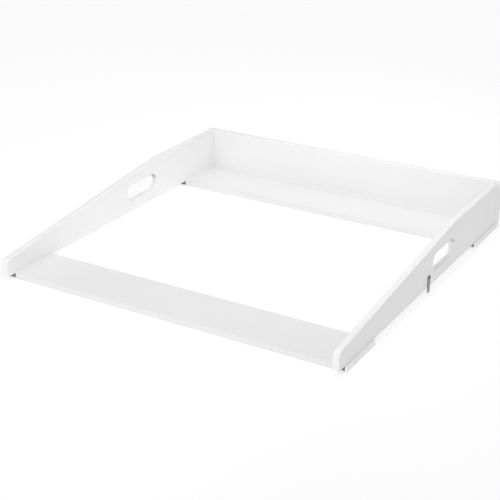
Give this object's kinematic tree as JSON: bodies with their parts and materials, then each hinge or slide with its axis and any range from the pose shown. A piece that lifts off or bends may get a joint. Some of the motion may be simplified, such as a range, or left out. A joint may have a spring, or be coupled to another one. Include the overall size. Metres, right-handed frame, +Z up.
{
  "type": "dresser changing top",
  "caption": "Open changing-top frame for a dresser: sloping side panels with handle slots, a back panel, front and rear planks, and swivelling steel safety plates.",
  "frame": {"origin": "middle of the frame's width and depth, level with the planks' undersides", "axes": "+X to the user's right, +Y to the wall behind the dresser, +Z up"},
  "size_m": [0.8084, 0.833, 0.113],
  "materials": {
    "white_lacquer": "satin white lacquer on fibreboard",
    "zinc_steel": "zinc plated",
    "beech": "raw fluted beech"
  },
  "bodies": {
    "frame": {"back_dowel_left": "beech", "back_dowel_right": "beech", "back_panel": "white_lacquer", "back_screw_left_1": "zinc_steel", "back_screw_left_2": "zinc_steel", "back_screw_right_1": "zinc_steel", "back_screw_right_2": "zinc_steel", "front_plank": "white_lacquer", "front_plank_screw_left_1": "zinc_steel", "front_plank_screw_left_2": "zinc_steel", "front_plank_screw_right_1": "zinc_steel", "front_plank_screw_right_2": "zinc_steel", "plate_screw_left": "zinc_steel", "plate_screw_right": "zinc_steel", "rear_plank": "white_lacquer", "rear_plank_screw_left_1": "zinc_steel", "rear_plank_screw_left_2": "zinc_steel", "rear_plank_screw_right_1": "zinc_steel", "rear_plank_screw_right_2": "zinc_steel", "side_panel_left": "white_lacquer", "side_panel_right": "white_lacquer", "sill_dowel_1": "beech", "sill_dowel_2": "beech", "sill_dowel_3": "beech", "sill_screw_1": "zinc_steel", "sill_screw_2": "zinc_steel", "sill_screw_3": "zinc_steel", "sill_screw_4": "zinc_steel"},
    "plate_right": {"safety_plate_right": "zinc_steel"},
    "plate_left": {"safety_plate_left": "zinc_steel"}
  },
  "joints": [
    {"name": "plate_swivel_right", "type": "hinge", "parent": "frame", "child": "plate_right", "pos_m": [0.40105, -0.005, 0.0345], "axis": [1, 0, 0], "continuous": true},
    {"name": "plate_swivel_left", "type": "hinge", "parent": "frame", "child": "plate_left", "pos_m": [-0.40105, -0.005, 0.0345], "axis": [1, 0, 0], "continuous": true}
  ]
}
